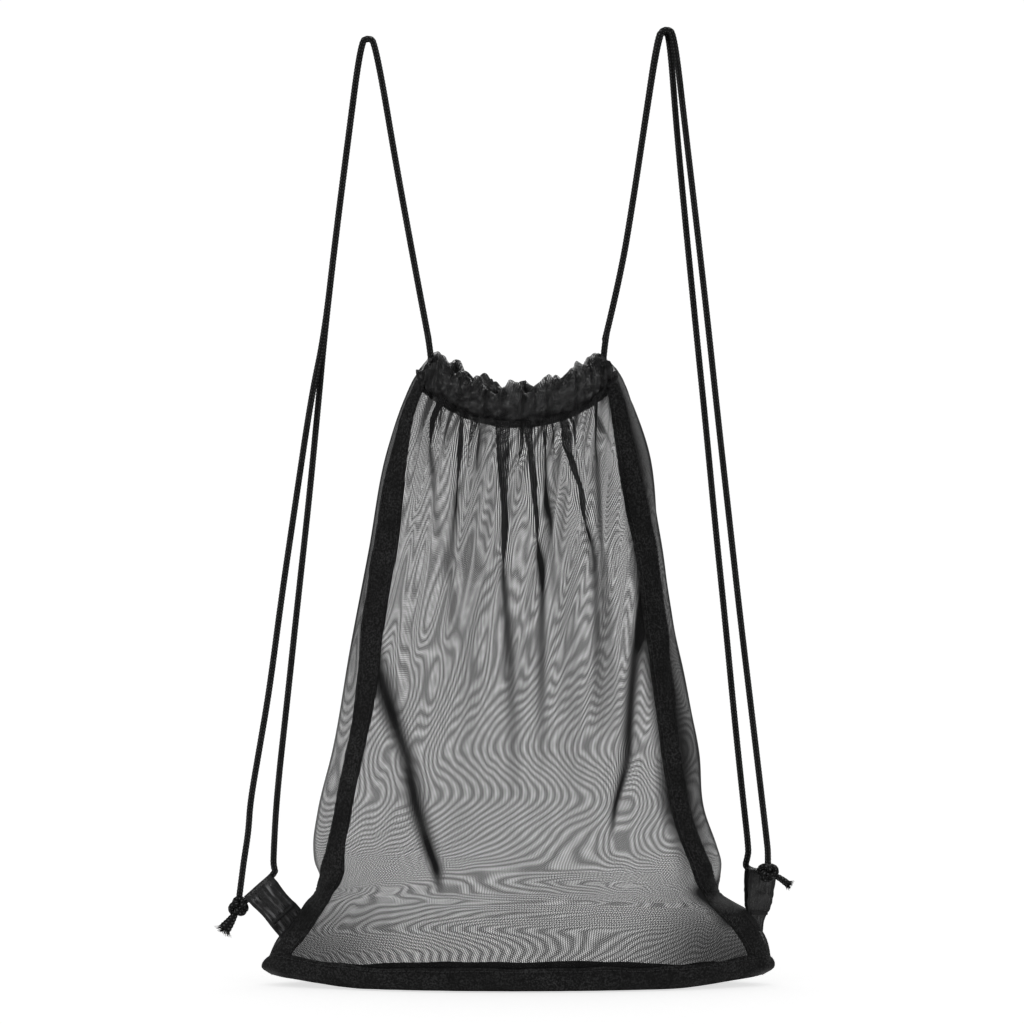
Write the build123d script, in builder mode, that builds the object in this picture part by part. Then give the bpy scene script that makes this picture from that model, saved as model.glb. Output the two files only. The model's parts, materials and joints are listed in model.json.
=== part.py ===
from build123d import *
import math
import os

# Mesh drawstring bag: two mesh panels bound with tape, a gathered casing and two drawcords.
# Frame: millimetres, +Z up, origin at the middle of the flat underside. The front faces -Y and +X is to the
# right of somebody who looks at the front. The bag stands open and filled out, with its cords raised as if
# they hung on two hooks.

os.makedirs("parts", exist_ok=True)

# Filled shape of the bag: height, half width between the side seams, half depth.
bag_sections = [
    (0, 174, 57),
    (20, 171, 61),
    (38, 161, 63.5),
    (56, 150, 64),
    (75, 142, 63.5),
    (105, 137, 61),
    (165, 127, 54),
    (235, 115, 45),
    (305, 103, 37),
    (360, 92, 31),
    (395, 81, 28),
    (430, 64, 26),
]
mesh_thickness = 1.0
tape_thickness = 1.2
tape_width = 19
seam_lap = 1  # how far the side tapes reach past the seam, onto the back
bottom_tape_height = 20
thread_thickness = 0.8
stitch_inset = 2.5

# Casing: a flattened ring of doubled mesh that droops between its two ends.
casing_half_width = 70
casing_half_depth = 32
casing_wall = 1.0
channel_depth = 8.0
casing_height = 27
casing_middle_height = 400
casing_droop_radius = 98
casing_overreach = 15  # how far the drooping cut lines run past the casing's ends
shoulder_height = 380  # below the ends of the cut line that trims the panels
mouth_slit = 20

# Drawcords
cord_diameter = 4.5
cord_radius = cord_diameter / 2
strand_spacing = 5.2
cord_level_spacing = 11
exit_x = 59.6
exit_height = 441.5
exit_lean = 0.3
casing_run_steps = 22
casing_run_start = 26  # degrees round the mouth from its end, where a cord joins the tunnel
corner_share = 0.45  # share of the shorter run that a cord's rounded corner takes up

# Ribbon tabs at the bottom corners
tab_width = 24
ribbon_thickness = 1.2
tab_fold_radius = 2.5
tab_base_gap = 0.4
tab_root = 6
right_tab_turn = 37
bartack_place = 8
bartack_length = 2.5
bartack_width = 20
bartack_height = 5
knot_radius = 6.5
flare_length = 6
flare_radius = 4.8
left_tab_base, left_tab_tip = (-157.3, 0, 42.3), (-181.0, 0, 69.2)
right_tab_base, right_tab_tip = (166.2, 0, 41.6), (169.3, 0, 81.1)
left_knot_centre, left_tail_end = (-193.3, 0, 53.7), (-204, 0, 37.5)
right_knot_centre, right_tail_end = (173.6, -14.5, 78.8), (188.5, -16.5, 69.5)

far = 250  # larger than the bag in any direction from its axis


# ---------------------------------------------------------------- bag form

def bag_form(grow):
    """Closed solid of the filled bag, grown outward by a fabric thickness."""
    with BuildPart() as form:
        for height, half_width, half_depth in bag_sections:
            seam = half_width + grow
            crown = half_depth + grow
            with BuildSketch(Plane.XY.offset(height)):
                with BuildLine():
                    ThreePointArc((-seam, 0), (0, -crown), (seam, 0))
                    ThreePointArc((seam, 0), (0, crown), (-seam, 0))
                make_face()
        loft(ruled=True)
    return form.part


def seam_line(inset):
    """Points that run down the right seam, inset towards the middle of the bag."""
    return [(half_width - inset, height) for height, half_width, _ in bag_sections]


def droop(x):
    """Height that the casing's middle line has gained at a distance x from the middle of the mouth."""
    return casing_droop_radius - math.sqrt(casing_droop_radius**2 - x**2)


def droop_arc(level):
    """Drooping edge across the mouth, at a level above or below the casing's middle line."""
    reach = casing_half_width + casing_overreach
    height = casing_middle_height + level
    return ThreePointArc(
        (-reach, height + droop(reach)), (0, height), (reach, height + droop(reach))
    )


def droop_band(low, high):
    """Face between two drooping edges."""
    with BuildSketch() as band:
        with BuildLine():
            lower = droop_arc(low)
            upper = droop_arc(high)
            Line(lower @ 0, upper @ 0)
            Line(lower @ 1, upper @ 1)
        make_face()
    return band.sketch


bag_inside = bag_form(-mesh_thickness)
bag_mesh = bag_form(0)
bag_taped = bag_form(tape_thickness)
bag_stitched = bag_form(tape_thickness + thread_thickness)

# ---------------------------------------------------------------- mesh panels

with BuildPart() as mesh_shell:
    add(bag_mesh)
    add(bag_inside, mode=Mode.SUBTRACT)
    split(bisect_by=Plane.XY.offset(tape_thickness), keep=Keep.TOP)
    with BuildSketch(Plane.XZ) as below_casing:
        with BuildLine():
            top_edge = droop_arc(-casing_height / 2)
            Line(top_edge @ 0, (-far, shoulder_height))
            Polyline((-far, shoulder_height), (-far, 0), (far, 0), (far, shoulder_height))
            Line((far, shoulder_height), top_edge @ 1)
        make_face()
    extrude(amount=far, both=True, mode=Mode.INTERSECT)

with BuildPart() as front_panel:
    add(mesh_shell.part)
    split(bisect_by=Plane.XZ, keep=Keep.TOP)

with BuildPart() as back_panel:
    add(mesh_shell.part)
    split(bisect_by=Plane.XZ, keep=Keep.BOTTOM)

# ---------------------------------------------------------------- seam tapes

with BuildPart() as mesh_above_base:
    add(bag_mesh)
    split(bisect_by=Plane.XY.offset(tape_thickness), keep=Keep.TOP)

with BuildPart() as bottom_tape:
    add(bag_taped)
    add(mesh_above_base.part, mode=Mode.SUBTRACT)
    split(bisect_by=Plane.XY.offset(bottom_tape_height), keep=Keep.BOTTOM)


def seam_strip(near, wide, top):
    """Upright strip along the right seam, from an inset near over a width wide, up to a height top."""
    height = top - bottom_tape_height
    with BuildSketch() as strip:
        with BuildLine():
            outer = Polyline(*seam_line(near))
            inner = Polyline(*seam_line(near + wide))
            Line(outer @ 0, inner @ 0)
            Line(outer @ 1, inner @ 1)
        make_face()
        with Locations((0, bottom_tape_height + height / 2)):
            Rectangle(2 * far, height, mode=Mode.INTERSECT)
    return strip.sketch


side_tape_top = casing_middle_height + droop(exit_x) - casing_height / 2

with BuildPart() as right_side_tape:
    with BuildSketch(Plane.XZ.offset(-seam_lap)):
        add(seam_strip(-tape_width, 2 * tape_width, side_tape_top))
    extrude(amount=far)
    add(bag_taped, mode=Mode.INTERSECT)
    add(bag_mesh, mode=Mode.SUBTRACT)

with BuildPart() as left_side_tape:
    add(right_side_tape.part.mirror(Plane.YZ))

with BuildPart() as tape_stitching:
    for inset in (stitch_inset, tape_width - stitch_inset):
        with BuildSketch(Plane.XZ):
            add(seam_strip(inset, thread_thickness, side_tape_top - stitch_inset))
        extrude(amount=far)
    mirror(about=Plane.YZ)
    with BuildSketch(Plane.XY.offset(bottom_tape_height - stitch_inset)):
        Rectangle(2 * far, 2 * far)
    extrude(amount=thread_thickness)
    add(bag_stitched, mode=Mode.INTERSECT)
    add(bag_taped, mode=Mode.SUBTRACT)

# ---------------------------------------------------------------- casing


def casing_ring(low, high, wall, depth):
    """Solid ring of the gathered mouth between two drooping edges, a wall inside its outer face."""
    with BuildPart() as ring:
        with BuildSketch(Plane.XZ):
            add(droop_band(low, high))
        extrude(amount=far, both=True)
        with BuildSketch():
            Ellipse(casing_half_width - wall, casing_half_depth - wall)
            Ellipse(
                casing_half_width - wall - depth,
                casing_half_depth - wall - depth,
                mode=Mode.SUBTRACT,
            )
        extrude(amount=2 * far, mode=Mode.INTERSECT)
    return ring.part


half_height = casing_height / 2
channel_half_height = half_height - casing_wall
casing_depth = channel_depth + 2 * casing_wall

with BuildPart() as casing:
    add(casing_ring(-half_height, half_height, 0, casing_depth))
    add(
        casing_ring(-channel_half_height, channel_half_height, casing_wall, channel_depth),
        mode=Mode.SUBTRACT,
    )
    with Locations((0, 0, casing_middle_height)):
        Box(2 * far, mouth_slit, far, mode=Mode.SUBTRACT)

with BuildPart() as front_casing:
    add(casing.part)
    split(bisect_by=Plane.XZ, keep=Keep.TOP)

with BuildPart() as back_casing:
    add(casing.part)
    split(bisect_by=Plane.XZ, keep=Keep.BOTTOM)

with BuildPart() as casing_stitching:
    row = stitch_inset - half_height
    add(casing_ring(row, row + thread_thickness, -thread_thickness, thread_thickness))
    with Locations((0, 0, casing_middle_height)):
        Box(2 * far, mouth_slit, far, mode=Mode.SUBTRACT)

# ---------------------------------------------------------------- drawcords


def cord_tube(route):
    """Round cord along straight runs, each corner an arc as large as its two runs allow."""
    points = [Vector(*point) for point in route]
    runs = [end - start for start, end in zip(points, points[1:])]
    radii = []
    for before, after in zip(runs, runs[1:]):
        turn = math.radians(before.get_angle(after))
        radii.append(corner_share * min(before.length, after.length) / math.tan(turn / 2))
    with BuildPart() as tube:
        with BuildLine():
            path = FilletPolyline(*points, radius=radii)
        with BuildSketch(Plane(origin=path @ 0, z_dir=path % 0)):
            Circle(cord_radius)
        sweep()
    return tube.part


def casing_run(side, level):
    """Route of one drawcord through the casing and back out at the end where it went in.

    side is -1 for the left drawcord and 1 for the right one, level its height on the casing's middle line.
    """
    half_width = casing_half_width - casing_depth / 2
    half_depth = casing_half_depth - casing_depth / 2
    ring = []
    for step in range(casing_run_steps + 1):
        turned = (360 - 2 * casing_run_start) * step / casing_run_steps
        angle = math.radians(casing_run_start + turned)
        x = side * half_width * math.cos(angle)
        y = -half_depth * math.sin(angle)
        ring.append((x, y, casing_middle_height + droop(x) + level))
    turn_height = casing_middle_height + droop(exit_x) + level
    front_exit = [
        (side * exit_x, -strand_spacing / 2, exit_height),
        (side * (exit_x - exit_lean), -strand_spacing / 2, turn_height),
    ]
    back_exit = [(x, -y, z) for x, y, z in reversed(front_exit)]
    return front_exit + ring + back_exit


half_spacing = strand_spacing / 2
left_level = cord_level_spacing / 2
right_level = -cord_level_spacing / 2


def beside(points, y):
    """The same route drawn in the upright plane at y."""
    return [(x, y, z) for x, z in points]


# Strand routes, from the top of the casing over a hook and down to the tab. The front strand of
# the left cord ends in its knot and the back one in its tab.
left_rise = [(-61.0, 446), (-79.8, 545), (-97.9, 653.2), (-103, 655.7), (-108, 653)]
left_fall = [(-117.2, 583), (-125.9, 515), (-133.3, 451)]
left_front_route = beside(left_rise + left_fall, -half_spacing) + [
    (-142.4, -2.2, 408),
    (-152.9, -1.8, 338),
    (-163.2, -1.3, 269),
    (-171.6, -0.9, 205),
    (-179.0, -0.6, 162),
    (-185.2, -0.4, 126),
    (-186.3, -0.2, 107),
    (-189.2, 0, 88),
]
left_back_route = beside(left_rise + left_fall, half_spacing) + [
    (-137.6, 2.2, 404),
    (-144.2, 1.8, 336),
    (-151.9, 1.4, 267),
    (-159.3, 1.0, 198),
    (-166.8, 0.6, 131),
    (-169.2, 0, 86.5),
]
left_knot_lead = [(-189.9, 0, 83.5), (-192.9, 0, 60)]
left_tab_route = [(-168.8, 0, 81.4), (-167.3, 0, 76.3), (-190.6, 0, 55.8)]

# The front strand of the right cord is the outer one, which ends in its knot.
right_rise = [(60.6, 446), (71.6, 491), (80.4, 544), (87.9, 594)]
right_front_route = beside(
    right_rise + [(98.2, 659.4), (103.5, 661.9), (108.6, 659), (116.2, 594)], -half_spacing
) + [
    (124.3, -2.6, 526),
    (132.2, -2.6, 457),
    (139.4, -2.8, 390),
    (147.2, -3.2, 321),
    (154.7, -3.7, 254),
    (162.7, -4.4, 188),
    (168.8, -5.4, 137),
    (173.6, -6.5, 96),
]
right_back_route = beside(
    right_rise + [(97.4, 658.3), (101.5, 660.2), (105.4, 658), (110.4, 593)], half_spacing
) + [
    (117.0, 2.6, 524),
    (123.8, 2.6, 456),
    (130.8, 2.7, 388),
    (137.3, 2.9, 320),
    (144.4, 3.2, 252),
    (150.8, 3.7, 186),
    (156.3, 4.5, 134),
    (160.9, 5.5, 93.5),
]
right_knot_lead = [(173.9, -7.5, 91), (173.7, -12.5, 83)]
right_tab_route = [(160.4, 6.2, 88.5), (157.9, 8.5, 78.6), (179.8, -8.6, 76.8), (175.5, -13.5, 78.5)]

with BuildPart() as left_drawcord_casing_run:
    add(cord_tube(casing_run(-1, left_level)))

with BuildPart() as right_drawcord_casing_run:
    add(cord_tube(casing_run(1, right_level)))

with BuildPart() as left_front_strand:
    add(cord_tube(left_front_route))

with BuildPart() as left_back_strand:
    add(cord_tube(left_back_route))

with BuildPart() as right_front_strand:
    add(cord_tube(right_front_route))

with BuildPart() as right_back_strand:
    add(cord_tube(right_back_route))


def straight_tube(start, end):
    """Short straight piece of cord."""
    run = Vector(*end) - Vector(*start)
    with BuildPart() as tube:
        with BuildSketch(Plane(origin=start, z_dir=run)):
            Circle(cord_radius)
        extrude(amount=run.length)
    return tube.part


with BuildPart() as left_tab_cord_run:
    add(cord_tube(left_tab_route))
    add(straight_tube(*left_knot_lead))

with BuildPart() as right_tab_cord_run:
    add(cord_tube(right_tab_route))
    add(straight_tube(*right_knot_lead))

# ---------------------------------------------------------------- knots and cut tails


def knot_at(centre):
    """Pulled-tight overhand knot as a ball."""
    with BuildPart(Plane(origin=centre)) as knot:
        Sphere(knot_radius)
    return knot.part


def tail_from(centre, end):
    """Cut end of the cord beyond its knot, which flares where the braid frays."""
    run = Vector(*end) - Vector(*centre)
    neck = run.length - flare_length
    with BuildPart(Plane(origin=centre, z_dir=run)) as tail:
        Cylinder(cord_radius, neck, align=(Align.CENTER, Align.CENTER, Align.MIN))
        with Locations((0, 0, neck)):
            Cone(cord_radius, flare_radius, flare_length, align=(Align.CENTER, Align.CENTER, Align.MIN))
    with BuildPart() as trimmed:
        add(tail.part)
        add(knot_at(centre), mode=Mode.SUBTRACT)
    return trimmed.part


with BuildPart() as left_knot:
    add(knot_at(left_knot_centre))

with BuildPart() as right_knot:
    add(knot_at(right_knot_centre))

with BuildPart() as left_cord_tail:
    add(tail_from(left_knot_centre, left_tail_end))

with BuildPart() as right_cord_tail:
    add(tail_from(right_knot_centre, right_tail_end))

# ---------------------------------------------------------------- tabs


def tab_plane(base, tip, turn):
    """Plane at a tab's base, x along the tab and z out of its ribbon, and the tab's length.

    turn is the angle in degrees by which the tab twists about its own length.
    """
    along = Vector(*tip) - Vector(*base)
    flat = Plane(origin=base, x_dir=along, z_dir=(0, -1, 0))
    return flat.rotated((turn, 0, 0)), along.length


def ribbon_loop(plane, length):
    """Ribbon folded round a cord, its two layers brought together where the bag's side seam holds them."""
    middle = length - tab_fold_radius - ribbon_thickness
    side = Plane(origin=plane.origin, x_dir=plane.x_dir, z_dir=plane.y_dir)
    with BuildPart() as loop:
        with BuildSketch(side):
            for thickness, mode in ((ribbon_thickness, Mode.ADD), (0, Mode.SUBTRACT)):
                radius = tab_fold_radius + thickness
                base = tab_base_gap / 2 + thickness
                with BuildLine():
                    Polyline((middle, -radius), (-tab_root, -base), (-tab_root, base), (middle, radius))
                    ThreePointArc((middle, radius), (middle + radius, 0), (middle, -radius))
                make_face(mode=mode)
        extrude(amount=tab_width / 2, both=True)
        add(bag_taped, mode=Mode.SUBTRACT)
    return loop.part


def bartack(plane, ribbon):
    """Bar of thread through both layers of a tab, near its base."""
    with BuildPart() as bar:
        with BuildSketch(plane):
            with Locations((bartack_place, 0)):
                Rectangle(bartack_length, bartack_width)
        extrude(amount=bartack_height / 2, both=True)
        add(ribbon, mode=Mode.SUBTRACT)
    return bar.part


left_tab_plane, left_tab_length = tab_plane(left_tab_base, left_tab_tip, 0)
right_tab_plane, right_tab_length = tab_plane(right_tab_base, right_tab_tip, right_tab_turn)

with BuildPart() as left_tab:
    add(ribbon_loop(left_tab_plane, left_tab_length))

with BuildPart() as right_tab:
    add(ribbon_loop(right_tab_plane, right_tab_length))

with BuildPart() as left_tab_bartack:
    add(bartack(left_tab_plane, left_tab.part))

with BuildPart() as right_tab_bartack:
    add(bartack(right_tab_plane, right_tab.part))

# ---------------------------------------------------------------- finished pieces

pieces = {
    "front_panel": front_panel,
    "back_panel": back_panel,
    "left_side_tape": left_side_tape,
    "right_side_tape": right_side_tape,
    "bottom_tape": bottom_tape,
    "tape_stitching": tape_stitching,
    "front_casing": front_casing,
    "back_casing": back_casing,
    "casing_stitching": casing_stitching,
    "left_drawcord_casing_run": left_drawcord_casing_run,
    "right_drawcord_casing_run": right_drawcord_casing_run,
    "left_front_strand": left_front_strand,
    "left_back_strand": left_back_strand,
    "right_front_strand": right_front_strand,
    "right_back_strand": right_back_strand,
    "left_tab_cord_run": left_tab_cord_run,
    "right_tab_cord_run": right_tab_cord_run,
    "left_knot": left_knot,
    "right_knot": right_knot,
    "left_cord_tail": left_cord_tail,
    "right_cord_tail": right_cord_tail,
    "left_tab": left_tab,
    "right_tab": right_tab,
    "left_tab_bartack": left_tab_bartack,
    "right_tab_bartack": right_tab_bartack,
}

for name, piece in pieces.items():
    piece.part.label = name
    export_step(piece.part, f"parts/{name}.step")
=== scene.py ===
import json
import math
import random

import bpy
import numpy as np
from mathutils import Matrix, Vector, noise


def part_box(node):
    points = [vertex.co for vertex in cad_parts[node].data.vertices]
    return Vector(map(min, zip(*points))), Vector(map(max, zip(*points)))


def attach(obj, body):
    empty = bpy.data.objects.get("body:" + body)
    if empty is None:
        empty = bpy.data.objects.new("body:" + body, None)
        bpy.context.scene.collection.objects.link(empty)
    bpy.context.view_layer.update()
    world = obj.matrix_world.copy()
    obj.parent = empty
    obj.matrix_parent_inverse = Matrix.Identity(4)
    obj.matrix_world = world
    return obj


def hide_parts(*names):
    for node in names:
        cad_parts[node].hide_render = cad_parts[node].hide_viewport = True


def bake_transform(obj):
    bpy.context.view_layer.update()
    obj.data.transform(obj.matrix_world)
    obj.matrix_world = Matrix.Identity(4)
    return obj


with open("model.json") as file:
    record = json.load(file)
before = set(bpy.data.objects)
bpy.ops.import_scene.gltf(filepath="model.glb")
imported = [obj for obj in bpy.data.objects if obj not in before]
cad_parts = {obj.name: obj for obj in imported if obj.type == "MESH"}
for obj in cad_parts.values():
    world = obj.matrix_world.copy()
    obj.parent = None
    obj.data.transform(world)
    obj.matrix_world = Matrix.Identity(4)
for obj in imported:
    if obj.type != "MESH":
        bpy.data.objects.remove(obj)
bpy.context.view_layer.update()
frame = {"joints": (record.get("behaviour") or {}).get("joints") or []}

# Mesh drawstring bag. Objects are in the frame's metres; the values and tables below are in millimetres.
MM = 0.001
CORD = 4.5  # diameter of the drawcord
HALF_SPACING = 2.6  # half the distance between the two strands of a strap
CORD_CARRIERS = 6  # bundles of yarn that go round the cord each way
CORD_GIRTH = math.pi * CORD * MM  # distance round the cord, and the length in which a bundle goes round it
CASING_HALF_HEIGHT = 13.5
CASING_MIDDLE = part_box("front_casing")[0].z / MM + CASING_HALF_HEIGHT  # at the middle of the mouth
CASING_RING = (65.0, 27.0)  # half width and half depth of the casing's middle line
DROOP_RADIUS = 98  # the casing hangs from its two ends in this curve
BAND_HEIGHT = 16.0
NET_TUCK = 5  # how far the net reaches into the bottom band and into the casing
NET_PITCH = 1.15  # distance between rows of holes
BACK_PITCH = 1.02  # the back is stretched less, so the two layers beat against each other
TAPE_WIDTH = 19  # of a side tape laid flat

# ---- small tools


def smooth_step(value, low, high):
    """0 at low, 1 at high, with a soft start and end."""
    share = np.clip((np.asarray(value, float) - low) / (high - low), 0, 1)
    return share * share * (3 - 2 * share)


def through(points, column):
    """Smooth function of the first column that passes through another column of given points."""
    at = np.array([point[0] for point in points], float)
    values = np.array([point[column] for point in points], float)
    slopes = np.gradient(values, at)

    def curve(where):
        where = np.clip(where, at[0], at[-1])
        i = np.clip(np.searchsorted(at, where) - 1, 0, len(at) - 2)
        span = at[i + 1] - at[i]
        t = (where - at[i]) / span
        rise = (3 - 2 * t) * t * t
        return (
            values[i] * (1 - rise)
            + values[i + 1] * rise
            + span * t * (1 - t) * (slopes[i] * (1 - t) - slopes[i + 1] * t)
        )

    return curve


def mesh_object(name, look, points, faces, uvs=None, smooth=True):
    """Mesh piece of one material from points in metres, faces, and one UV per point."""
    mesh = bpy.data.meshes.new(name)
    mesh.from_pydata(np.asarray(points, float).reshape(-1, 3).tolist(), [], faces)
    if uvs is not None:
        layer = mesh.uv_layers.new(name="UVMap")
        corners = np.empty(len(mesh.loops), int)
        mesh.loops.foreach_get("vertex_index", corners)
        places = np.asarray(uvs, np.float32).reshape(-1, 2)
        layer.data.foreach_set("uv", places[corners].ravel())
    mesh.polygons.foreach_set("use_smooth", [smooth] * len(mesh.polygons))
    mesh.update()
    mesh.materials.append(look)
    piece = bpy.data.objects.new(name, mesh)
    bpy.context.collection.objects.link(piece)
    return piece


def grid_faces(rows, columns, round_columns=False):
    """Quads between the points of a grid stored row by row."""
    across = np.arange(columns if round_columns else columns - 1)
    down = np.arange(rows - 1)[:, None] * columns
    after = (across + 1) % columns
    below = down + columns
    quads = np.stack([down + across, down + after, below + after, below + across], axis=-1)
    return quads.reshape(-1, 4).tolist()


def cloth(name, look, grid, across, down, round_columns=False):
    """Mesh piece from a grid of points in millimetres. across and down are its UVs, in metres of cloth."""
    faces = grid_faces(*grid.shape[:2], round_columns)
    return mesh_object(name, look, grid * MM, faces, np.stack(np.meshgrid(across, down), axis=-1))


def set_attribute(piece, name, values):
    """Stores one number per point, for a material to read."""
    attribute = piece.data.attributes.new(name, "FLOAT", "POINT")
    attribute.data.foreach_set("value", np.asarray(values, np.float32).ravel())


def distances(line, closed=False):
    """Each point's distance from the start of a line; a closed line's last distance is back at its start."""
    loop = np.concatenate([line, line[:1]]) if closed else line
    return np.concatenate([[0], np.cumsum(np.linalg.norm(np.diff(loop, axis=0), axis=1))])


def points_at(where, reach, points):
    """Points or directions of a line at other distances along it."""
    return np.stack([np.interp(where, reach, points[:, axis]) for axis in range(3)], axis=1)


def unit(vectors):
    """The same directions, one long."""
    return vectors / np.linalg.norm(vectors, axis=-1)[..., None]


# ---- materials


class Look:
    """A Principled material and short ways to add nodes to it."""

    def __init__(self, name, color, roughness, specular=0.2):
        self.material = bpy.data.materials.new(name)
        self.material.use_nodes = True
        self.tree = self.material.node_tree
        self.shader = self.tree.nodes["Principled BSDF"]
        self.shader.inputs["Base Color"].default_value = (*color, 1)
        self.shader.inputs["Roughness"].default_value = roughness
        self.shader.inputs["Specular IOR Level"].default_value = specular

    def node(self, kind, inputs=None, **settings):
        node = self.tree.nodes.new(kind)
        for key, value in settings.items():
            setattr(node, key, value)
        for key, value in (inputs or {}).items():
            self.feed(node.inputs[key], value)
        return node

    def feed(self, socket, value):
        if isinstance(value, bpy.types.NodeSocket):
            self.tree.links.new(value, socket)
        else:
            socket.default_value = value

    def math(self, operation, *values):
        return self.node("ShaderNodeMath", dict(enumerate(values)), operation=operation).outputs[0]

    def times(self, *values):
        return self.math("MULTIPLY", *values)

    def minus(self, *values):
        return self.math("SUBTRACT", *values)

    def uv(self):
        """The piece's UV coordinates, as two sockets."""
        place = self.node("ShaderNodeUVMap", uv_map="UVMap")
        parts = self.node("ShaderNodeSeparateXYZ", {0: place.outputs[0]})
        return parts.outputs[0], parts.outputs[1]

    def position(self):
        return self.node("ShaderNodeTexCoord").outputs["Object"]

    def attribute(self, name):
        return self.node("ShaderNodeAttribute", attribute_name=name).outputs["Fac"]

    def wave(self, value, length):
        """Cosine of a distance, with one wave in each length."""
        return self.math("COSINE", self.times(value, 2 * math.pi / length))

    def noise(self, scale, detail=3.0, where=None):
        inputs = {"Scale": scale, "Detail": detail, "Vector": where or self.position()}
        return self.node("ShaderNodeTexNoise", inputs).outputs[0]

    def remap(self, value, low, high, new_low=0.0, new_high=1.0, smooth=False):
        kind = "SMOOTHSTEP" if smooth else "LINEAR"
        inputs = {0: value, 1: low, 2: high, 3: new_low, 4: new_high}
        return self.node("ShaderNodeMapRange", inputs, interpolation_type=kind).outputs[0]

    def tint(self, value, dark, light):
        """Base colour from dark to light as a value goes from 0 to 1."""
        mix = self.node("ShaderNodeMix", {0: value}, data_type="RGBA")
        mix.inputs[6].default_value = (*dark, 1)
        mix.inputs[7].default_value = (*light, 1)
        self.feed(self.shader.inputs["Base Color"], mix.outputs[2])

    def bump(self, height, distance, strength=1.0, below=None):
        inputs = {"Height": height, "Distance": distance, "Strength": strength}
        if below is not None:
            inputs["Normal"] = below
        normal = self.node("ShaderNodeBump", inputs).outputs[0]
        self.feed(self.shader.inputs["Normal"], normal)
        return normal


def cord_look():
    """Black braided polypropylene: yarns that run along each carrier of the plait, with glints painted into
    the base colour on the plait's crowns, lighter on the carriers that run one way.
    """
    look = Look("braided_cord", (0.006, 0.006, 0.0065), 0.45, 0.1)
    along, around = look.uv()
    turns = look.times(around, float(CORD_CARRIERS))
    advance = look.times(along, CORD_CARRIERS / CORD_GIRTH)
    right = look.math("ADD", turns, advance)
    left = look.minus(turns, advance)
    cell = look.math("ADD", look.math("FLOOR", right), look.math("FLOOR", left))
    parity = look.math("FLOORED_MODULO", cell, 2.0)
    yarn = look.node("ShaderNodeMix", {0: parity, 2: right, 3: left}, data_type="FLOAT").outputs[0]
    yarns_in_bundle = 3
    low = look.bump(look.wave(yarn, 1 / yarns_in_bundle), 0.00012, 0.8)
    look.bump(look.noise(2600.0, 2.0), 0.00008, 0.5, below=low)
    # Painted glints: the base colour turns light on the crowns of the plait, more on the carriers that run
    # one way, as if lit from one side.
    crown = look.remap(look.attribute("relief"), 0.72, 1.0)
    lit_carrier_family = look.remap(parity, 0.0, 1.0, 0.08, 1.0)
    painted_glints = look.times(look.times(crown, lit_carrier_family), look.noise(420.0, 3.0))
    look.tint(painted_glints, (0.0012, 0.0012, 0.0012), (0.16, 0.16, 0.162))
    return look.material


# ---- cords


def centreline(name, route):
    """Points in metres along the smooth line that a route's points steer."""
    data = bpy.data.curves.new(name, "CURVE")
    data.dimensions = "3D"
    data.resolution_u = 32
    spline = data.splines.new("NURBS")
    spline.points.add(len(route) - 1)
    for point, place in zip(spline.points, route):
        point.co = (*(Vector(place) * MM), 1)
    spline.order_u = 3
    spline.use_endpoint_u = True
    holder = bpy.data.objects.new(name, data)
    bpy.context.collection.objects.link(holder)
    bpy.context.view_layer.update()
    mesh = bpy.data.meshes.new_from_object(holder)
    line = np.array([vertex.co[:] for vertex in mesh.vertices])
    apart = np.linalg.norm(np.diff(line, axis=0), axis=1) > 1e-6
    line = line[np.concatenate([[True], apart])]
    bpy.data.meshes.remove(mesh)
    bpy.data.objects.remove(holder)
    bpy.data.curves.remove(data)
    return line


def spaced(line, spacing):
    """The same line with its points a spacing apart, and each point's distance from its start."""
    reach = distances(line)
    count = max(3, int(round(reach[-1] / spacing)) + 1)
    distance = np.linspace(0, reach[-1], count)
    return points_at(distance, reach, line), distance


def frames_along(points):
    """Two directions square to a line at each of its points, which follow it without twisting."""
    ahead = unit(np.gradient(points, axis=0))
    side = np.cross(ahead[0], (0.0, 1.0, 0.0))
    if np.linalg.norm(side) < 0.1:
        side = np.cross(ahead[0], (1.0, 0.0, 0.0))
    sides = []
    for direction in ahead:
        side = unit(side - direction * np.dot(side, direction))
        sides.append(side)
    sides = np.array(sides)
    return sides, np.cross(ahead, sides)


def tube_rings(middles, side, up, radius, sides):
    """Rings of points round a line, from its points, two directions square to it, and radii."""
    angle = (np.arange(sides) / sides * 2 * math.pi)[:, None]
    ray = side[:, None, :] * np.cos(angle) + up[:, None, :] * np.sin(angle)
    return middles[:, None, :] + ray * radius[..., None]


def plait_height(right, left):
    """Height of a plain plait where two families of carriers pass over and under each other."""
    across_right = (right % 1) - 0.5
    across_left = (left % 1) - 0.5
    right_on_top = ((np.floor(right) + np.floor(left)) % 2) < 1
    across = np.where(right_on_top, across_right, across_left)
    along = np.where(right_on_top, across_left, across_right)
    return (1 - (2 * across) ** 2) ** 0.5 * 0.55 + np.cos(math.pi * along) * 0.45


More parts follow.
